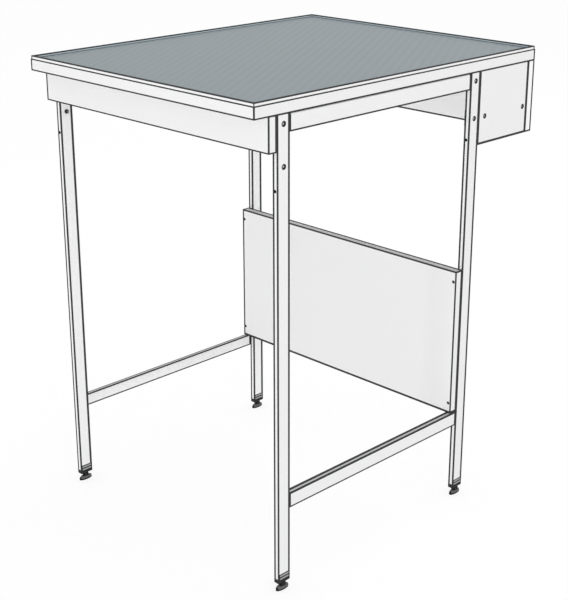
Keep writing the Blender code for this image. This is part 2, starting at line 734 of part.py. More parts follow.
def plug_sections():
    """Foot plug from its cap up: the cap closes the tube and the ribs fill the notches in its walls."""
    cap = (LEG_WIDTH / 2, LEG_DEPTH / 2, LEG_CORNER)
    slim = [size - CAP_CHAMFER for size in cap]
    body_x = LEG_WIDTH / 2 - LEG_WALL - SEAT_GAP
    body_y = LEG_DEPTH / 2 - NOTCH_MARGIN - SEAT_GAP
    body = (body_x, body_y, LEG_INNER_CORNER)
    rib = (LEG_WIDTH / 2, body_y, LEG_INNER_CORNER)
    levels = [
        (CAP_BOTTOM, slim),
        (CAP_BOTTOM + CAP_CHAMFER, cap),
        (CAP_TOP, cap),
        (CAP_TOP, body),
    ]
    for index in range(RIB_COUNT):
        low = LEG_END + RIB_GROOVE + index * RIB_PITCH
        high = low + RIB_HEIGHT
        levels += [(low, body), (low, rib), (high, rib), (high, body)]
    top = LEG_END + PLUG_DEPTH
    levels.append((top, body))
    sections = [(height, rectangle(*sizes)) for height, sizes in levels]
    bore = circle(STUD_DIAMETER / 2 + HOLE_CLEARANCE, len(sections[0][1]))
    return sections + [(top, bore), (CAP_BOTTOM, bore)]


def stud_sections():
    """Threaded stud with a spanner hexagon and the tip that turns in the pad's socket."""
    def round_at(diameter):
        return circle(diameter / 2, FOOT_SIDES)

    tip_bottom = PAD_HEIGHT - SOCKET_DEPTH + SEAT_GAP
    top = HEX_TOP + STUD_LENGTH
    spanner = hexagon(STUD_HEX_FLATS, FOOT_SIDES)
    return [
        (tip_bottom, round_at(STUD_TIP_DIAMETER - 2 * STUD_CHAMFER)),
        (tip_bottom + STUD_CHAMFER, round_at(STUD_TIP_DIAMETER)),
        (HEX_BOTTOM, round_at(STUD_TIP_DIAMETER)),
        (HEX_BOTTOM, spanner),
        (HEX_TOP, spanner),
        (HEX_TOP, round_at(STUD_DIAMETER)),
        (top - STUD_CHAMFER, round_at(STUD_DIAMETER)),
        (top, round_at(STUD_DIAMETER - 2 * STUD_CHAMFER)),
    ]


def pad_sections():
    """Oval pad with an upright edge, a crown that rises to its flat top, and the stud's socket."""
    half_x = PAD_WIDTH / 2
    half_y = PAD_LENGTH / 2
    sections = [
        (0, ellipse(half_x - PAD_CHAMFER, half_y - PAD_CHAMFER)),
        (PAD_CHAMFER, ellipse(half_x, half_y)),
    ]
    for step in range(CROWN_STEPS + 1):
        rise = math.radians(90 * step / CROWN_STEPS)
        height = PAD_EDGE + (PAD_HEIGHT - PAD_EDGE) * math.sin(rise)
        reach = math.cos(rise)
        crown_x = (PAD_TOP_WIDTH + (PAD_WIDTH - PAD_TOP_WIDTH) * reach) / 2
        crown_y = (PAD_TOP_LENGTH + (PAD_LENGTH - PAD_TOP_LENGTH) * reach) / 2
        sections.append((height, ellipse(crown_x, crown_y)))
    bore = circle(STUD_TIP_DIAMETER / 2 + HOLE_CLEARANCE, FOOT_SIDES)
    return sections + [(PAD_HEIGHT, bore), (PAD_HEIGHT - SOCKET_DEPTH, bore)]


def make_foot(row_name, side_name, materials):
    """Plug in the leg's end, with the stud and the pad on an empty that stands on their axis."""
    foot_name = f"{side_name}_{row_name}"
    place = Matrix.Translation((SIDES[side_name] * LEG_X, ROWS[row_name], 0))
    add_object(foot_name + "_foot_plug", stack(plug_sections(), ring=True), materials["black_plastic"], place)
    axis = bpy.data.objects.new(foot_name + "_foot_axis", None)
    bpy.context.scene.collection.objects.link(axis)
    axis.matrix_world = place
    bpy.context.view_layer.update()
    add_object(foot_name + "_foot_stud", stack(stud_sections()), materials["black_steel"], place, axis)
    add_object(foot_name + "_foot_pad", stack(pad_sections()), materials["black_plastic"], place, axis)


def main():
    remove_all_objects()
    materials = {
        "white_board": make_material("white_board", (0.86, 0.86, 0.86), 0.45, 0),
        "white_edging": make_material("white_edging", (0.86, 0.86, 0.86), 0.4, 0),
        "white_steel": make_material("white_steel", (0.86, 0.86, 0.86), 0.35, 0),
        "blue_grey_tray": make_material("blue_grey_tray", (0.32, 0.36, 0.38), 0.4, 0),
        "zinc_steel": make_material("zinc_steel", (0.6, 0.6, 0.62), 0.35, 1),
        "black_steel": make_material("black_steel", (0.02, 0.02, 0.02), 0.4, 0.6),
        "black_plastic": make_material("black_plastic", (0.015, 0.015, 0.015), 0.55, 0),
    }
    make_worktop(materials)
    for side_name in SIDES:
        make_side_frame(side_name, materials)
        make_link_bolt(side_name, materials)
    for row_name in ROWS:
        make_cross_rail(row_name, materials)
        for side_name in SIDES:
            make_foot(row_name, side_name, materials)
    make_apron(materials)
    make_lower_panel(materials)
    make_service_box(materials)


main()
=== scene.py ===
"""Looks of the wall-side laboratory bench: finishes, threaded feet, cross-head screws, light and camera."""
import json
import math

import bmesh
import bpy
from mathutils import Matrix, Vector


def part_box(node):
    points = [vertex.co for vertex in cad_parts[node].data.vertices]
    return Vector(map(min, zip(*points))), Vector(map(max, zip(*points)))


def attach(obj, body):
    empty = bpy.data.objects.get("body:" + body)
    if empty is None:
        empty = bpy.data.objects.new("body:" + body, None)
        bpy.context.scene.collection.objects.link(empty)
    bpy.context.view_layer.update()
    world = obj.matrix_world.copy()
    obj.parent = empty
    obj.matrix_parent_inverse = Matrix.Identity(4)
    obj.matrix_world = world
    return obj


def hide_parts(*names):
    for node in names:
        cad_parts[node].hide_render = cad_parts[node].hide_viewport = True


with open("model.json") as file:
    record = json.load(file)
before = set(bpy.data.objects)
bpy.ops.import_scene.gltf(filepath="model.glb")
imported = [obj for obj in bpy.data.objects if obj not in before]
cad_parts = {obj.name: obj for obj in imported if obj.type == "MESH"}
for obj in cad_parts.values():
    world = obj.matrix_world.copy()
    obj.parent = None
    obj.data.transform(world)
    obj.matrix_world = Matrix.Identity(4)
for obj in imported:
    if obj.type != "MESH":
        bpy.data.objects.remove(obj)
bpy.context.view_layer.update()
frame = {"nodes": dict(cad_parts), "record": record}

MM = 0.001
NODES = frame["nodes"]
BODIES = frame["record"]["behaviour"]["bodies"]
BODY_OF = {node: body for body, members in BODIES.items() for node in members}
SLOT_OF = {part["node"]: part["material_slot"] for part in frame["record"]["subparts"]}
ALONG_X = Vector((1, 0, 0))
ALONG_Y = Vector((0, 1, 0))
ALONG_Z = Vector((0, 0, 1))

# Camera, fitted to the picture's straight edges
IMAGE_WIDTH = 568
IMAGE_HEIGHT = 600
FOCAL_PIXELS = 1308.29
PRINCIPAL_X = 288.04
PRINCIPAL_Y = 272.84
CAMERA_PLACE = Vector((1.74753, -1.74816, 1.32216))
CAMERA_AZIMUTH = math.radians(44.971)
CAMERA_ELEVATION = math.radians(19.361)
SENSOR_HEIGHT = 36

# Light and stage, in metres and watts
WORLD_STRENGTH = 0.82
FLOOR_SIZE = 16
FLOOR_COLOUR = (0.92, 0.92, 0.92)
FLOOR_GLOW = 0.75
FLOOR_GLOW_STRENGTH = 1.06
LAMPS = {
    "key_lamp": dict(place=(2.6, -2.2, 2.6), target=(0, 0, 0.5), size=3.0, power=9),
    "front_lamp": dict(place=(0.8, -6.4, 0.42), target=(0, 0.3, 0.8), size=0.8, power=47),
    "rear_lamp": dict(place=(0.4, 3.0, 2.8), target=(0, 0, 0.5), size=2.6, power=14),
    "low_lamp": dict(place=(7.0, -4.0, 0.6), target=(0, 0.2, 0.7), size=1.9, power=78),
}

# Colours, and gains on them
WHITE = (0.87, 0.87, 0.872)
EDGE_DARK = (0.035, 0.036, 0.038)
TRAY_BLUE = (0.248, 0.292, 0.31)
TRAY_EDGE = (0.05, 0.062, 0.072)
TRAY_FOOT = (0.1, 0.125, 0.14)
ZINC = (0.72, 0.72, 0.73)
RIB_GREY = (0.36, 0.36, 0.365)
PLASTIC_BLACK = (0.006, 0.006, 0.0065)
CAP_GREY = (0.022, 0.022, 0.023)
PAD_GREY = (0.13, 0.13, 0.132)
STEEL_BLACK = (0.01, 0.01, 0.011)
STEEL_WORN = (0.2, 0.2, 0.205)
# Painted shade on faces that look up
TOP_PAINTED_SHADE = 0.62
# Painted light: the tray's walls are coloured lighter, to make up for their shade
TRAY_WALL_PAINTED_LIGHT = 2.4

# Painted light: pieces in shade are coloured a little whiter, to make up for their shade
PAINTED_LIGHT_GAIN = {
    "service_back_board": 1.11,
    "left_front_leg": 1.07,
    "left_rear_leg": 1.1,
    "left_stretcher": 1.09,
}

# Slow changes of a colour over a surface, with scale in waves to the metre and span as shares of the colour
MOTTLE = {
    "white_board": dict(scale=9, detail=4, span=(0.985, 1)),
    "white_edging": dict(scale=14, detail=3, span=(1.03, 1.06)),
    "white_steel": dict(scale=11, detail=3, span=(0.99, 1.01)),
    "blue_grey_tray": dict(scale=7, detail=5, span=(0.95, 1.05)),
    "zinc_steel": dict(scale=420, detail=4, span=(0.86, 1.08)),
    "black_steel": dict(scale=600, detail=4, span=(0.7, 1.5)),
    # painted shade on faces that look up, mottled
    "top_shade": dict(scale=60, detail=4, span=(0.97, 1.03)),
    "rib": dict(scale=300, detail=3, span=(0.92, 1.06)),
    "cap": dict(scale=300, detail=3, span=(0.8, 1.3)),
    "pad": dict(scale=260, detail=3, span=(0.85, 1.15)),
}

# Fine texture of a surface, with scale in waves to the metre and the height and strength of its bumps
TEXTURE = {
    "white_board": dict(scale=1400, detail=2, roughness=(0.4, 0.52), height=0.03 * MM, strength=0.5),
    "white_edging": dict(scale=2600, detail=2, roughness=(0.34, 0.46), height=0.02 * MM, strength=0.6),
    "white_steel": dict(scale=520, detail=2, roughness=(0.32, 0.44), height=0.12 * MM, strength=0.5),
    "blue_grey_tray": dict(scale=1800, detail=2, roughness=(0.5, 0.62), height=0.06 * MM, strength=0.25),
    "zinc_steel": dict(scale=3200, detail=2, roughness=(0.28, 0.46), height=0.02 * MM, strength=0.5),
    "black_steel": dict(scale=2500, detail=2, roughness=(0.42, 0.58), height=0.02 * MM, strength=0.5),
    "plastic": dict(scale=2400, detail=3, roughness=(0.46, 0.6), height=0.04 * MM, strength=0.6),
}
NOISE_BLEND = 0.55
PEEL_BLEND = 0.4
NOISE_SPAN = (0.3, 0.7)
ZINC_METALLIC = 0.8
BLACK_METALLIC = 0.2
BLACK_SPECULAR = 0.12
LINE_ROUGHNESS = 1.0

# Diagonal hatch in the tray's floor
HATCH_PITCH = 16.3 * MM
HATCH_TURN = math.radians(-32)
HATCH_DISTORTION = 1.2
HATCH_DETAIL = 2.0
HATCH_DETAIL_SCALE = 40.0
HATCH_FADE_SPAN = (0.35, 0.65)
HATCH_FADE = 0.5
HATCH_FADED_SHADE = 1.01
WAVE_RADIANS = 20

# Lines along the edges of boards and tubes
EDGE_LINE = Vector((3.5, 3.5, 3.5)) * MM
LINE_SHIFT = Vector((1.1, -1.4, -0.6)) * MM
BROAD_LINE = {"left_front_leg": 0.7 * MM, "left_rear_leg": 1.2 * MM, "right_rear_leg": 0.8 * MM}
BOTTOM_LINE = {"lower_rear_panel": 2.2 * MM, "right_cheek": 2 * MM, "service_back_board": 0.8 * MM}
BACK_LINE = Vector((1.8, 1.8, 2.6)) * MM
BACK_SHIFT = Vector((1.2, -1.2, 0)) * MM
BACKWARD = (-1, 1, 0)
BACKWARD_FROM = 0.5
TOP_LINE = Vector((4, 4, 4)) * MM
TOP_SHIFT = Vector((2.4, -2.4, 0)) * MM
FLANGE_SHIFT = {"left_stretcher": Vector((0.9, -0.9, 0)) * MM}
TOP_EASE = {"worktop_board": 2.2 * MM, "lower_rear_panel": 1 * MM}
UPWARD_SPAN = (0.6, 0.9)
SHUT_GAP = 1 * MM
NO_LINE = 10 * MM
MORE_THAN_ONE = 1.5

# Lines on the worktop's rim and tray
EDGING_LINE = Vector((2.6, 2.6, 2.6)) * MM
EDGING_TOP_LINE = 1.9 * MM
TRAY_SHEET = 0.8 * MM
TRAY_TOP_LINE = 2.1 * MM
TRAY_FOOT_LINE = 0.6 * MM
TRAY_FLOOR_LINE = 2 * MM

# Holes and notches in the legs, the cheeks and the lower panel, with their lines
# Depth beyond which painted shade darkens the inside of a tube
TUBE_SKIN = 1.2 * MM
RECESS_RADIUS = 3.8 * MM
RECESS_LINE = 1.3 * MM
SUNK_SEAT_RADIUS = 3.2 * MM
LEG_HOLE_RADIUS = 2.75 * MM
LEG_HOLE_LINE = 0.3 * MM
LEG_HOLE_DROP = 125 * MM
NUT_SEAT_RADIUS = 4.4 * MM
NOTCH_HEIGHT = 11.6 * MM
NOTCH_MARGIN = 2 * MM
NOTCH_LINE = 1.3 * MM

# Grey faces of the plugs and pads
RIB_FACE = 0.4 * MM
RIB_END = 3.4 * MM
PAD_BASE = 3.4 * MM
PAD_END = 2.4 * MM

# Threads, their profile, depth and root as shares of the pitch
OUTLINE_POINTS = 24
THREAD_STEPS = 24
THREAD_PROFILE = ((0.08, 0), (0.46, 1), (0.54, 1), (0.92, 0))
THREAD_DEPTH = 0.6
THREAD_ROOT = 0.1
THREAD_END = 0.05
SMOOTH_ANGLE = math.radians(35)

# Socket bolts, and the radii beyond which painted shade darkens bolts, nuts and panel screws
BOLT_RADIUS = 2 * MM
BOLT_PITCH = 0.7 * MM
BOLT_HEAD_RADIUS = 3.5 * MM
BOLT_HEAD_HEIGHT = 3 * MM
BOLT_CHAMFER = 0.5 * MM
BOLT_EASE = 0.15 * MM
BOLT_SOCKET_FLATS = 3 * MM
BOLT_SOCKET_DEPTH = 1.6 * MM
BOLT_RING = 1.7 * MM
NUT_RING = 1.6 * MM
SCREW_RING = 0.5 * MM
RING_FADE = 0.3 * MM
# Weights of X, Y and Z in the link bolts' painted shade, which also darkens them along the shank
LINK_SHADE_WEIGHTS = (1, 1, 0.092)

# Wood screws, the profile of the pan head as shares of its height and radius
SCREW_RADIUS = 2.1 * MM
PANEL_SCREW_RADIUS = 1.6 * MM
SCREW_PITCH = 0.9 * MM
SCREW_NECK = 1.8 * MM
SCREW_POINT_LENGTH = 4 * MM
SCREW_POINT_RADIUS = 0.4 * MM
PAN_RADIUS = 4 * MM
PAN_HEIGHT = 2.4 * MM
PAN_PROFILE = ((0, 0.75), (0.2, 0.94), (0.5, 1), (1, 1))
SUNK_RADIUS = 2.9 * MM
SUNK_HEIGHT = 1.6 * MM
SUNK_EASE = 0.1 * MM
CROSS_REACH = 2.2 * MM
SUNK_CROSS_REACH = 1.7 * MM
CROSS_HALF_WIDTH = 0.5 * MM
CROSS_FLOOR_HALF_WIDTH = 0.35 * MM
CROSS_DEPTH = 1.2 * MM
CROSS_TAPER = 0.45

# Studs of the feet, and where their black is worn
STUD_RADIUS = 3 * MM
STUD_PITCH = 1 * MM
STUD_LENGTH = 40 * MM
STUD_CHAMFER = 0.8 * MM
STUD_END_CHAMFER = 0.4 * MM
STUD_TIP_RADIUS = 2.7 * MM
STUD_HEX_FLATS = 12 * MM
STUD_HEX_HEIGHT = 7.4 * MM
STUD_HEX_EASE = 0.2 * MM
HEX_CHAMFER_SLOPE = 0.577
CREST_DEPTH = 0.15 * MM
CREST_FADE = 0.1 * MM
CREST_WEAR = 0.5
CORNER_SPAN = (6.6 * MM, 6.9 * MM)
CORNER_WEAR = 0.35


def middle_of(node):
    low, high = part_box(node)
    return (low + high) / 2


# Threaded pieces


def circle(radius):
    """Outline that starts an eighth of a turn back, in step with the cross below."""
    angles = [math.tau * index / OUTLINE_POINTS - math.pi / 4 for index in range(OUTLINE_POINTS)]
    return [(radius * math.cos(angle), radius * math.sin(angle)) for angle in angles]


def hexagon(flats):
    """Hexagon with as many points as a circle, its corners among them."""
    outline = []
    for x, y in circle(1):
        angle = math.atan2(y, x)
        from_flat = (angle + math.pi / 6) % (math.pi / 3) - math.pi / 6
        reach = flats / 2 / math.cos(from_flat)
        outline.append((reach * x, reach * y))
    return outline


def cross(reach, half_width):
    """Plus-shaped outline of a screwdriver recess, six points to each arm."""
    middle = (half_width + reach) / 2
    arm = [
        (half_width, -half_width), (middle, -half_width), (reach, -half_width),
        (reach, 0), (reach, half_width), (middle, half_width),
    ]
    outline = []
    for quarter in range(4):
        turn = Matrix.Rotation(quarter * math.pi / 2, 2)
        outline += [tuple(turn @ Vector(point)) for point in arm]
    return outline


def skin(mesh, sections):
    """Closed body through outlines at given heights; a height may be a rule of the point's radius."""
    rings = []
    for height, outline in sections:
        ring = []
        for x, y in outline:
            z = height(math.hypot(x, y)) if callable(height) else height
            ring.append(mesh.verts.new((x, y, z)))
        rings.append(ring)
    for low, high in zip(rings, rings[1:]):
        for index in range(len(low)):
            after = (index + 1) % len(low)
            mesh.faces.new((low[index], low[after], high[after], high[index]))
    mesh.faces.new(rings[0][::-1])
    mesh.faces.new(rings[-1])


def thread_core(radius, pitch):
    return radius - THREAD_DEPTH * pitch


def thread(mesh, radius, pitch, low, high):
    """Closed helical ridge between two heights, rooted in the core, into which it sinks at both ends."""
    root = thread_core(radius, pitch) - THREAD_ROOT * pitch
    steps = int((high - low - pitch) / pitch * THREAD_STEPS)
    sections = []
    for step in range(steps + 1):
        angle = math.tau * step / THREAD_STEPS
        run_out = max(THREAD_END, min(1, step / THREAD_STEPS, (steps - step) / THREAD_STEPS))
        section = []
        for along, rise in THREAD_PROFILE:
            reach = root + (radius - root) * rise * run_out
            height = low + pitch * (step / THREAD_STEPS + along)
            section.append(mesh.verts.new((reach * math.cos(angle), reach * math.sin(angle), height)))
        sections.append(section)
    for first, second in zip(sections, sections[1:]):
        for index in range(len(THREAD_PROFILE)):
            before = index - 1
            mesh.faces.new((first[before], second[before], second[index], first[index]))
    mesh.faces.new(sections[0])
    mesh.faces.new(sections[-1][::-1])


def finished(node, mesh, material, place):
    """Threaded object from a mesh, put in a CAD node's stead on the node's body."""
    name = node + "_threaded"
    bmesh.ops.recalc_face_normals(mesh, faces=mesh.faces)
    data = bpy.data.meshes.new(name)
    mesh.to_mesh(data)
    mesh.free()
    data.shade_smooth()
    data.set_sharp_from_angle(angle=SMOOTH_ANGLE)
    data.materials.append(material)
    piece = bpy.data.objects.new(name, data)
    piece.matrix_world = place
    bpy.context.scene.collection.objects.link(piece)
    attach(piece, BODY_OF[node])
    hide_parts(node)


def seat(node, direction):
    """Frame of a fastener, at the middle of its head's top with +Z along its shank, and its length."""
    low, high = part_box(node)
    length = (high - low).dot(Vector(map(abs, direction)))
    head = middle_of(node) - direction * length / 2
    return Matrix.Translation(head) @ direction.to_track_quat("Z", "Y").to_matrix().to_4x4(), length


def make_bolt(node, direction, material):
    """Socket bolt: head with a hexagon socket, and a metric thread on the shank."""
    place, length = seat(node, direction)
    thread_start = BOLT_HEAD_HEIGHT + BOLT_PITCH
    core = thread_core(BOLT_RADIUS, BOLT_PITCH)
    mesh = bmesh.new()
    skin(mesh, [
        (BOLT_SOCKET_DEPTH, hexagon(BOLT_SOCKET_FLATS)),
        (0, hexagon(BOLT_SOCKET_FLATS)),
        (0, circle(BOLT_HEAD_RADIUS - BOLT_CHAMFER)),
        (BOLT_EASE, circle(BOLT_HEAD_RADIUS - BOLT_EASE)),
        (BOLT_CHAMFER, circle(BOLT_HEAD_RADIUS)),
        (BOLT_HEAD_HEIGHT, circle(BOLT_HEAD_RADIUS)),
        (BOLT_HEAD_HEIGHT, circle(BOLT_RADIUS)),
        (thread_start, circle(BOLT_RADIUS)),
        (thread_start, circle(core)),
        (length - BOLT_CHAMFER, circle(core)),
        (length, circle(core - BOLT_CHAMFER)),
    ])
    thread(mesh, BOLT_RADIUS, BOLT_PITCH, thread_start, length - BOLT_CHAMFER)
    finished(node, mesh, material, place)


def cross_recess(reach):
    """Sections of a tapered cross recess, from its floor up to the head's top."""
    return [
        (CROSS_DEPTH, cross(reach * CROSS_TAPER, CROSS_FLOOR_HALF_WIDTH)),
        (0, cross(reach, CROSS_HALF_WIDTH)),
    ]


def make_screw(node, direction, material, head, radius=SCREW_RADIUS, reach=CROSS_REACH):
    """Wood screw: a head with a cross recess, a coarse thread and a point."""
    place, length = seat(node, direction)
    core = thread_core(radius, SCREW_PITCH)
    head_height = head[-1][0]
    mesh = bmesh.new()
    skin(mesh, cross_recess(reach) + head + [
        (head_height, circle(core)),
        (length - SCREW_POINT_LENGTH, circle(core)),
        (length, circle(SCREW_POINT_RADIUS)),
    ])
    thread(mesh, radius, SCREW_PITCH, head_height + SCREW_NECK, length - SCREW_POINT_LENGTH)
    finished(node, mesh, material, place)


def make_stud(node, material):
    """Levelling stud: a tip for the pad's socket, a chamfered spanner hexagon and a metric thread."""
    low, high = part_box(node)
    middle = middle_of(node)
    top = high.z - low.z
    hex_top = top - STUD_LENGTH
    hex_bottom = hex_top - STUD_HEX_HEIGHT
    inner = STUD_HEX_FLATS / 2
    core = thread_core(STUD_RADIUS, STUD_PITCH)
    mesh = bmesh.new()
    skin(mesh, [
        (0, circle(STUD_TIP_RADIUS - STUD_CHAMFER)),
        (STUD_CHAMFER, circle(STUD_TIP_RADIUS)),
        (hex_bottom, circle(STUD_TIP_RADIUS)),
        (hex_bottom, circle(inner - STUD_HEX_EASE)),
        (lambda radius: hex_bottom + (radius - inner) * HEX_CHAMFER_SLOPE, hexagon(STUD_HEX_FLATS)),
        (lambda radius: hex_top - (radius - inner) * HEX_CHAMFER_SLOPE, hexagon(STUD_HEX_FLATS)),
        (hex_top, circle(inner - STUD_HEX_EASE)),
        (hex_top, circle(core)),
        (top - STUD_CHAMFER, circle(core)),
        (top, circle(core - STUD_END_CHAMFER)),
    ])
    thread(mesh, STUD_RADIUS, STUD_PITCH, hex_top, top - STUD_CHAMFER)
    finished(node, mesh, material, Matrix.Translation((middle.x, middle.y, low.z)))


def make_fasteners(metals):
    """Puts a threaded piece in the stead of each bolt, screw and stud."""
    zinc = metals["zinc_steel"]
    bolt_zinc = zinc_steel("bolt_zinc", BOLT_RING)
    link_zinc = zinc_steel("link_bolt_zinc", BOLT_RING, across=LINK_SHADE_WEIGHTS)
    panel_zinc = zinc_steel("panel_screw_zinc", SCREW_RING)
    pan = [(PAN_HEIGHT * along, circle(PAN_RADIUS * across)) for along, across in PAN_PROFILE]
    sunk = [
        (0, circle(SUNK_RADIUS - SUNK_EASE)),
        (SUNK_EASE, circle(SUNK_RADIUS)),
        (SUNK_HEIGHT, circle(PANEL_SCREW_RADIUS)),
    ]
    for node in SLOT_OF:
        if node.endswith("_bolt"):
            inward_x = -math.copysign(1, middle_of(node).x)
            make_bolt(node, inward_x * ALONG_X, link_zinc if node.endswith("_link_bolt") else bolt_zinc)
        elif node.endswith("_panel_screw"):
            make_screw(node, ALONG_Y, panel_zinc, sunk, PANEL_SCREW_RADIUS, SUNK_CROSS_REACH)
        elif node.endswith("_back_board_screw"):
            make_screw(node, ALONG_Y, zinc, pan)
        elif node.endswith("_apron_screw"):
            make_screw(node, -ALONG_Y, zinc, pan)
        elif node.endswith("_worktop_screw"):
            make_screw(node, ALONG_Z, zinc, pan)
        elif node.endswith("_foot_stud"):
            make_stud(node, metals["black_steel"])


# Node trees


def add(tree, kind, inputs=None, **settings):
    """Adds a node, sets its properties, and fills or links its inputs by name or number."""
    item = tree.nodes.new(kind)
    for key, value in settings.items():
        setattr(item, key, value)
    for key, value in (inputs or {}).items():
        if isinstance(value, bpy.types.NodeSocket):
            tree.links.new(value, item.inputs[key])
        else:
            item.inputs[key].default_value = value
    return item


def new_material(name):
    material = bpy.data.materials.new(name)
    material.use_nodes = True
    tree = material.node_tree
    return material, tree, tree.nodes["Principled BSDF"]


def join(tree, shader, sockets):
    """Links a material's results to its shader by name."""
    for name, socket in sockets.items():
        tree.links.new(socket, shader.inputs[name])


def object_place(tree):
    return add(tree, "ShaderNodeTexCoord").outputs["Object"]


def place_part(tree, axis):
    """One coordinate of a surface point."""
    return add(tree, "ShaderNodeSeparateXYZ", {0: object_place(tree)}).outputs[axis]


def noise(tree, scale, detail, blend=NOISE_BLEND):
    inputs = {"Vector": object_place(tree), "Scale": scale, "Detail": detail, "Roughness": blend}
    return add(tree, "ShaderNodeTexNoise", inputs).outputs["Fac"]


def remap(tree, value, low, high, new_low, new_high):
    inputs = {"Value": value, "From Min": low, "From Max": high, "To Min": new_low, "To Max": new_high}
    return add(tree, "ShaderNodeMapRange", inputs).outputs["Result"]


def mix_value(tree, factor, first, second):
    return add(tree, "ShaderNodeMix", {0: factor, 2: first, 3: second}).outputs[0]


def mix_colour(tree, factor, first, second):
    item = add(tree, "ShaderNodeMix", {"Factor": factor}, data_type="RGBA")
    for socket, value in ((item.inputs[6], first), (item.inputs[7], second)):
        if isinstance(value, bpy.types.NodeSocket):
            tree.links.new(value, socket)
        else:
            socket.default_value = (*value, 1)
    return item.outputs[2]


def math_node(tree, operation, first, second):
    return add(tree, "ShaderNodeMath", {0: first, 1: second}, operation=operation).outputs[0]


def vector_math(tree, operation, first, second=None):
    inputs = {0: first} if second is None else {0: first, 1: second}
    return add(tree, "ShaderNodeVectorMath", inputs, operation=operation).outputs


def shade(colour, factor):
    return tuple(channel * factor for channel in colour)


# Texture of the finishes


def clouds(tree, finish):
    """Slow noise over a surface."""
    return noise(tree, MOTTLE[finish]["scale"], MOTTLE[finish]["detail"])


def mottled(tree, colour, finish, gain=1, pattern=None):
    """Colour that varies with a pattern, or with the finish's own clouds."""
    if pattern is None:
        pattern = clouds(tree, finish)
    low, high = (shade(colour, share * gain) for share in MOTTLE[finish]["span"])
    return mix_colour(tree, pattern, low, high)


def grain(tree, finish, blend=NOISE_BLEND):
    """Fine noise over a surface."""
    return noise(tree, TEXTURE[finish]["scale"], TEXTURE[finish]["detail"], blend)


def gloss(tree, pattern, finish):
    """Roughness that follows a pattern."""
    return remap(tree, pattern, *NOISE_SPAN, *TEXTURE[finish]["roughness"])


def relief(tree, pattern, finish):
    """Bumps that follow a pattern."""
    texture = TEXTURE[finish]
    inputs = {"Height": pattern, "Distance": texture["height"], "Strength": texture["strength"]}
    return add(tree, "ShaderNodeBump", inputs).outputs["Normal"]


# Lines along edges and round holes


def inward(tree, low, high):
    """How far a point lies inside a box from its nearest side, along X, Y and Z."""
    middle = (low + high) / 2
    offset = vector_math(tree, "SUBTRACT", object_place(tree), middle)[0]
    reach = vector_math(tree, "ABSOLUTE", offset)[0]
    depth = vector_math(tree, "SUBTRACT", high - middle, reach)[0]
    return add(tree, "ShaderNodeSeparateXYZ", {0: depth}).outputs


def box_line(tree, low, high, widths):
    """1 where a surface point is near two sides of a box at once, which is along the box's edges."""
    depths = inward(tree, low, high)
    near = [math_node(tree, "LESS_THAN", depth, width) for depth, width in zip(depths, widths)]
    count = math_node(tree, "ADD", math_node(tree, "ADD", near[0], near[1]), near[2])
    return math_node(tree, "GREATER_THAN", count, MORE_THAN_ONE)


def spot(tree, centre, radius):
    """1 within a radius of a point: a dark ring round a hole, and painted shade on its walls."""
    distance = vector_math(tree, "DISTANCE", object_place(tree), centre)["Value"]
    return math_node(tree, "LESS_THAN", distance, radius)


def notch_line(tree, low, high):
    """1 round the notch at a leg's lower end."""
    top = low.z + NOTCH_HEIGHT + NOTCH_LINE
    half = (high.y - low.y) / 2 - NOTCH_MARGIN + NOTCH_LINE
    from_middle = math_node(tree, "SUBTRACT", place_part(tree, "Y"), (low.y + high.y) / 2)
    beside = math_node(tree, "ABSOLUTE", from_middle, 0)
    across = math_node(tree, "LESS_THAN", beside, half)
    return math_node(tree, "MULTIPLY", across, math_node(tree, "LESS_THAN", place_part(tree, "Z"), top))


def holes_in(node):
    """Middle of each hole on the face of a leg, a cheek or the panel, with the radius of its dark ring."""
    low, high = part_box(node)
    outer_x = max(low.x, high.x, key=abs)
    inner_x = min(low.x, high.x, key=abs)
    side = node.split("_")[0]
    bolts = {
        f"{side}_front_leg": (f"{side}_front_rail_bolt", f"{side}_link_bolt"),
        f"{side}_rear_leg": (f"{side}_rear_rail_bolt", f"{side}_plate_bolt"),
        f"{side}_cheek": (f"{side}_front_cheek_bolt", f"{side}_rear_cheek_bolt"),
    }
    holes = []
    for bolt in bolts.get(node, ()):
        middle = middle_of(bolt)
        holes.append((Vector((outer_x, middle.y, middle.z)), RECESS_RADIUS + RECESS_LINE))
        if bolt.endswith("_link_bolt"):
            holes.append((Vector((inner_x, middle.y, middle.z)), NUT_SEAT_RADIUS))
    if node.endswith("_leg"):
        middle = Vector(((low.x + high.x) / 2, low.y, high.z - LEG_HOLE_DROP))
        holes.append((middle, LEG_HOLE_RADIUS + LEG_HOLE_LINE))
    if node == "lower_rear_panel":
        for screw in SLOT_OF:
            if screw.endswith("_panel_screw"):
                middle = middle_of(screw)
                holes.append((Vector((middle.x, low.y, middle.z)), SUNK_SEAT_RADIUS))
    return holes


def tube_inside_shade(tree, low, high):
    """1 inside a tube, deeper than its skin, where painted shade darkens it."""
    depth = inward(tree, low, high)
    return math_node(tree, "GREATER_THAN", math_node(tree, "MINIMUM", depth[0], depth[1]), TUBE_SKIN)


def facing(tree):
    return add(tree, "ShaderNodeNewGeometry").outputs["Normal"]


def upward(tree):
    """1 on faces that look up."""
    height = add(tree, "ShaderNodeSeparateXYZ", {0: facing(tree)}).outputs["Z"]
    return remap(tree, height, *UPWARD_SPAN, 0, 1)


def backward(tree):
    """1 on faces that look left or to the rear."""
    turned = vector_math(tree, "DOT_PRODUCT", facing(tree), BACKWARD)["Value"]
    return math_node(tree, "GREATER_THAN", turned, BACKWARD_FROM)


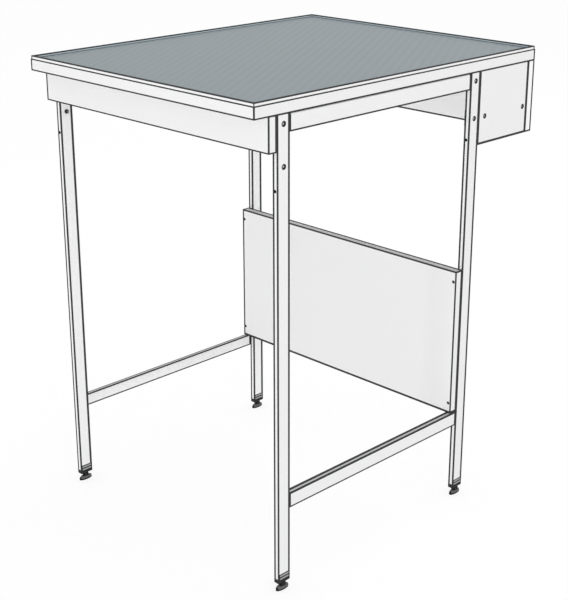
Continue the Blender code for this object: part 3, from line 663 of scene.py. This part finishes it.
def edge_line(tree, node):
    """1 along the edges of a node's box, round its holes, round a leg's notch, and painted shade inside its
    tube.
    """
    low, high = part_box(node)
    lines = [spot(tree, middle, radius) for middle, radius in holes_in(node)]
    if node.endswith("_leg"):
        lines += [notch_line(tree, low, high), tube_inside_shade(tree, low, high)]
    if 0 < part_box("worktop_board")[0].z - high.z < SHUT_GAP:
        high.z += NO_LINE
    high.z += TOP_EASE.get(node, 0)
    widths = EDGE_LINE + BROAD_LINE.get(node, 0) * ALONG_Y
    lift = BOTTOM_LINE.get(node, 0) * ALONG_Z
    fronts = box_line(tree, low + LINE_SHIFT + lift, high + LINE_SHIFT, widths)
    backs = box_line(tree, low + BACK_SHIFT, high + BACK_SHIFT, BACK_LINE)
    sides = mix_value(tree, backward(tree), fronts, backs)
    top_shift = FLANGE_SHIFT.get(node, TOP_SHIFT)
    tops = box_line(tree, low + top_shift, high + top_shift, TOP_LINE)
    total = mix_value(tree, upward(tree), sides, tops)
    for line in lines:
        total = math_node(tree, "MAXIMUM", total, line)
    return total


def matt_line(tree, line, roughness):
    """Roughness that turns matt along the lines."""
    return mix_value(tree, line, roughness, LINE_ROUGHNESS)


def with_top_shade(tree, colour):
    """Painted shade: darkens the faces that look up."""
    return mix_colour(tree, upward(tree), colour, mottled(tree, WHITE, "top_shade", TOP_PAINTED_SHADE))


def from_axis(tree, centre, across):
    """Distance of a surface point from a point, with each axis weighed by its share in across."""
    offset = vector_math(tree, "SUBTRACT", object_place(tree), centre)[0]
    return vector_math(tree, "LENGTH", vector_math(tree, "MULTIPLY", offset, across)[0])["Value"]


# Materials


def white_face(slot, node):
    """White board with a faint pearl, or white powder coat with its orange peel, lined along its edges."""
    material, tree, shader = new_material(f"{slot}_{node}")
    fine = grain(tree, slot, PEEL_BLEND if slot == "white_steel" else NOISE_BLEND)
    # painted light: pieces in shade get a whiter colour
    face = mottled(tree, WHITE, slot, PAINTED_LIGHT_GAIN.get(node, 1))
    line = edge_line(tree, node)
    join(tree, shader, {
        # faces that look up get painted shade
        "Base Color": mix_colour(tree, line, with_top_shade(tree, face), EDGE_DARK),
        "Roughness": matt_line(tree, line, gloss(tree, fine, slot)),
        "Normal": relief(tree, fine, slot),
    })
    return material


def white_edging(slot, node):
    """Extruded edge strip with draw lines round the rim."""
    material, tree, shader = new_material(f"{slot}_{node}")
    texture = TEXTURE[slot]
    height = place_part(tree, "Z")
    inputs = {"W": height, "Scale": texture["scale"], "Detail": texture["detail"]}
    draw = add(tree, "ShaderNodeTexNoise", inputs, noise_dimensions="1D").outputs["Fac"]
    low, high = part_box(node)
    top = math_node(tree, "GREATER_THAN", height, high.z - EDGING_TOP_LINE)
    low.z -= NO_LINE
    high.z += NO_LINE
    corner = box_line(tree, low + LINE_SHIFT, high + LINE_SHIFT, EDGING_LINE)
    line = math_node(tree, "MAXIMUM", top, corner)
    join(tree, shader, {
        "Base Color": mix_colour(tree, line, mottled(tree, WHITE, slot), EDGE_DARK),
        "Roughness": matt_line(tree, line, gloss(tree, draw, slot)),
        "Normal": relief(tree, draw, slot),
    })
    return material


def hatch_wave(tree):
    """Wavy diagonal stripes, their pitch set through the wave texture's own 20 radians to the unit."""
    turned = add(tree, "ShaderNodeMapping", {"Vector": object_place(tree), "Rotation": (0, 0, HATCH_TURN)})
    inputs = {
        "Vector": turned.outputs["Vector"],
        "Scale": math.tau / WAVE_RADIANS / HATCH_PITCH,
        "Distortion": HATCH_DISTORTION,
        "Detail": HATCH_DETAIL,
        "Detail Scale": HATCH_DETAIL_SCALE,
    }
    return add(tree, "ShaderNodeTexWave", inputs, bands_direction="X").outputs["Fac"]


def blue_grey_tray(slot, node):
    """Enamelled tray with a fine diagonal hatch pressed into it, painted light on its walls, and a dark
    line round its floor.
    """
    material, tree, shader = new_material(f"{slot}_{node}")
    hatch = hatch_wave(tree)
    stripes = mottled(tree, TRAY_BLUE, slot, pattern=hatch)
    fade = remap(tree, clouds(tree, slot), *HATCH_FADE_SPAN, 0, HATCH_FADE)
    face = mix_colour(tree, fade, stripes, shade(TRAY_BLUE, HATCH_FADED_SHADE))
    low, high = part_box(node)
    height = place_part(tree, "Z")
    depth = inward(tree, low, high)
    from_side = math_node(tree, "MINIMUM", depth[0], depth[1])
    # painted light: the walls are coloured lighter, to make up for their shade
    wall = math_node(tree, "GREATER_THAN", height, low.z + 2 * TRAY_SHEET)
    painted_light_walls = mix_colour(tree, wall, face, shade(TRAY_BLUE, TRAY_WALL_PAINTED_LIGHT))
    foot = math_node(tree, "LESS_THAN", height, low.z + TRAY_SHEET + TRAY_FOOT_LINE)
    border = math_node(tree, "LESS_THAN", from_side, TRAY_SHEET + TRAY_FLOOR_LINE)
    footed = mix_colour(tree, math_node(tree, "MULTIPLY", foot, border), painted_light_walls, TRAY_FOOT)
    top = math_node(tree, "GREATER_THAN", height, high.z - TRAY_TOP_LINE)
    join(tree, shader, {
        "Base Color": mix_colour(tree, top, footed, TRAY_EDGE),
        "Roughness": matt_line(tree, top, gloss(tree, grain(tree, slot), slot)),
        "Normal": relief(tree, hatch, slot),
    })
    return material


def zinc_steel(name, ring=None, centre=(0, 0, 0), across=(1, 1, 0)):
    """Zinc plate: blotched, lightly brushed metal, with painted shade beyond a radius from a point or its
    axis.
    """
    material, tree, shader = new_material(name)
    blotch = clouds(tree, "zinc_steel")
    face = mottled(tree, ZINC, "zinc_steel", pattern=blotch)
    if ring:
        # painted shade: darker beyond the ring's radius
        painted_shade = remap(tree, from_axis(tree, centre, across), ring, ring + RING_FADE, 0, 1)
        face = mix_colour(tree, painted_shade, face, EDGE_DARK)
    join(tree, shader, {
        "Base Color": face,
        "Roughness": gloss(tree, blotch, "zinc_steel"),
        "Normal": relief(tree, grain(tree, "zinc_steel"), "zinc_steel"),
    })
    shader.inputs["Metallic"].default_value = ZINC_METALLIC
    return material


def black_steel():
    """Black oxide on the foot studs, worn to grey on the thread's crests and the hexagon's corners."""
    material, tree, shader = new_material("black_steel")
    blotch = clouds(tree, "black_steel")
    face = mottled(tree, STEEL_BLACK, "black_steel", pattern=blotch)
    radius = from_axis(tree, (0, 0, 0), (1, 1, 0))
    crest = remap(tree, radius, STUD_RADIUS - CREST_DEPTH, STUD_RADIUS, 0, CREST_WEAR)
    on_thread = remap(tree, radius, STUD_RADIUS, STUD_RADIUS + CREST_FADE, 1, 0)
    corner = remap(tree, radius, *CORNER_SPAN, 0, CORNER_WEAR)
    worn = math_node(tree, "ADD", math_node(tree, "MULTIPLY", crest, on_thread), corner)
    join(tree, shader, {
        "Base Color": mix_colour(tree, worn, face, STEEL_WORN),
        "Roughness": gloss(tree, blotch, "black_steel"),
        "Normal": relief(tree, grain(tree, "black_steel"), "black_steel"),
    })
    shader.inputs["Metallic"].default_value = BLACK_METALLIC
    shader.inputs["Specular IOR Level"].default_value = BLACK_SPECULAR
    return material


def moulded(name, colour_of):
    """Spark-eroded plastic: colour_of(tree) gives its colour."""
    material, tree, shader = new_material(name)
    spark = grain(tree, "plastic")
    join(tree, shader, {
        "Base Color": colour_of(tree),
        "Roughness": gloss(tree, spark, "plastic"),
        "Normal": relief(tree, spark, "plastic"),
    })
    shader.inputs["Specular IOR Level"].default_value = BLACK_SPECULAR
    return material


def plug_colour(node, leg_end):
    """Ribs grey on their outer faces above the leg's end, black between, and a dull cap below."""
    def colour(tree):
        above = math_node(tree, "GREATER_THAN", place_part(tree, "Z"), leg_end)
        depth = inward(tree, *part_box(node))
        outer = math_node(tree, "LESS_THAN", depth[0], RIB_FACE)
        within = math_node(tree, "GREATER_THAN", depth[1], RIB_END)
        body = mix_colour(tree, above, mottled(tree, CAP_GREY, "cap"), PLASTIC_BLACK)
        # the outer faces of the ribs above the leg's end are grey, the grooves black
        outer_rib_faces = math_node(tree, "MULTIPLY", math_node(tree, "MULTIPLY", above, outer), within)
        return mix_colour(tree, outer_rib_faces, body, mottled(tree, RIB_GREY, "rib"))
    return colour


def pad_colour(node):
    """Dark grey crown between black ends, above a black base."""
    def colour(tree):
        above = math_node(tree, "GREATER_THAN", place_part(tree, "Z"), PAD_BASE)
        within = math_node(tree, "GREATER_THAN", inward(tree, *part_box(node))[1], PAD_END)
        crown = math_node(tree, "MULTIPLY", above, within)
        return mix_colour(tree, crown, PLASTIC_BLACK, mottled(tree, PAD_GREY, "pad"))
    return colour


def dress(node, material):
    """Gives every material slot of a CAD node one material."""
    data = NODES[node].data
    if not data.materials:
        data.materials.append(material)
    for index in range(len(data.materials)):
        data.materials[index] = material


def dress_all(metals):
    """Finishes every CAD node by its material slot and name."""
    leg_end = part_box("right_front_leg")[0].z
    finishes = {
        "white_board": white_face,
        "white_steel": white_face,
        "white_edging": white_edging,
        "blue_grey_tray": blue_grey_tray,
    }
    for node, slot in SLOT_OF.items():
        if slot in finishes:
            dress(node, finishes[slot](slot, node))
        elif node.endswith("_nut"):
            dress(node, zinc_steel("zinc_steel_" + node, NUT_RING, middle_of(node), (0, 1, 1)))
        elif slot in metals:
            dress(node, metals[slot])
        elif node.endswith("_plug"):
            dress(node, moulded("plug_plastic_" + node, plug_colour(node, leg_end)))
        else:
            dress(node, moulded("pad_plastic_" + node, pad_colour(node)))


# Stage, light and camera


def direct_rays(tree):
    """1 for rays from the camera, mirrors and glass, which should see a white surround."""
    rays = add(tree, "ShaderNodeLightPath").outputs
    mirrored = math_node(tree, "MAXIMUM", rays["Is Camera Ray"], rays["Is Glossy Ray"])
    return math_node(tree, "MAXIMUM", mirrored, rays["Is Transmission Ray"])


def make_world():
    """Even white surround, dimmer as a light than as a background."""
    world = bpy.data.worlds.new("studio")
    world.use_nodes = True
    bpy.context.scene.world = world
    tree = world.node_tree
    backdrop = tree.nodes["Background"]
    backdrop.inputs["Color"].default_value = (1, 1, 1, 1)
    strength = remap(tree, direct_rays(tree), 0, 1, WORLD_STRENGTH, 1)
    tree.links.new(strength, backdrop.inputs["Strength"])


def make_floor():
    """Pale floor that keeps a soft shadow and looks almost white to the camera."""
    mesh = bmesh.new()
    bmesh.ops.create_grid(mesh, x_segments=1, y_segments=1, size=FLOOR_SIZE / 2)
    data = bpy.data.meshes.new("floor")
    mesh.to_mesh(data)
    mesh.free()
    floor = bpy.data.objects.new("floor", data)
    bpy.context.scene.collection.objects.link(floor)
    material, tree, shader = new_material("floor")
    tree.nodes.remove(shader)
    matt = add(tree, "ShaderNodeBsdfDiffuse", {"Color": (*FLOOR_COLOUR, 1)})
    glow = add(tree, "ShaderNodeEmission", {"Strength": FLOOR_GLOW_STRENGTH})
    share = remap(tree, direct_rays(tree), 0, 1, 0, FLOOR_GLOW)
    blend = add(tree, "ShaderNodeMixShader", {0: share, 1: matt.outputs[0], 2: glow.outputs[0]})
    tree.links.new(blend.outputs[0], tree.nodes["Material Output"].inputs["Surface"])
    data.materials.append(material)


def make_lamps():
    for name, lamp in LAMPS.items():
        data = bpy.data.lights.new(name, "AREA")
        data.shape = "DISK"
        data.size = lamp["size"]
        data.energy = lamp["power"]
        item = bpy.data.objects.new(name, data)
        item.location = lamp["place"]
        item.rotation_euler = (Vector(lamp["target"]) - item.location).to_track_quat("-Z", "Y").to_euler()
        bpy.context.scene.collection.objects.link(item)


def make_camera():
    """Camera of the fitted place and lens, with the shift that the picture's framing needs."""
    data = bpy.data.cameras.new("camera")
    data.sensor_fit = "VERTICAL"
    data.sensor_height = SENSOR_HEIGHT
    data.lens = SENSOR_HEIGHT * FOCAL_PIXELS / IMAGE_HEIGHT
    data.shift_x = ((IMAGE_WIDTH - 1) / 2 - PRINCIPAL_X) / IMAGE_HEIGHT
    data.shift_y = (PRINCIPAL_Y - (IMAGE_HEIGHT - 1) / 2) / IMAGE_HEIGHT
    camera = bpy.data.objects.new("camera", data)
    camera.location = CAMERA_PLACE
    camera.rotation_euler = (math.pi / 2 - CAMERA_ELEVATION, 0, CAMERA_AZIMUTH)
    bpy.context.scene.collection.objects.link(camera)
    bpy.context.scene.camera = camera


def main():
    bpy.context.scene.view_settings.view_transform = "Standard"
    make_camera()
    make_world()
    make_floor()
    make_lamps()
    metals = {"zinc_steel": zinc_steel("zinc_steel"), "black_steel": black_steel()}
    dress_all(metals)
    make_fasteners(metals)


main()
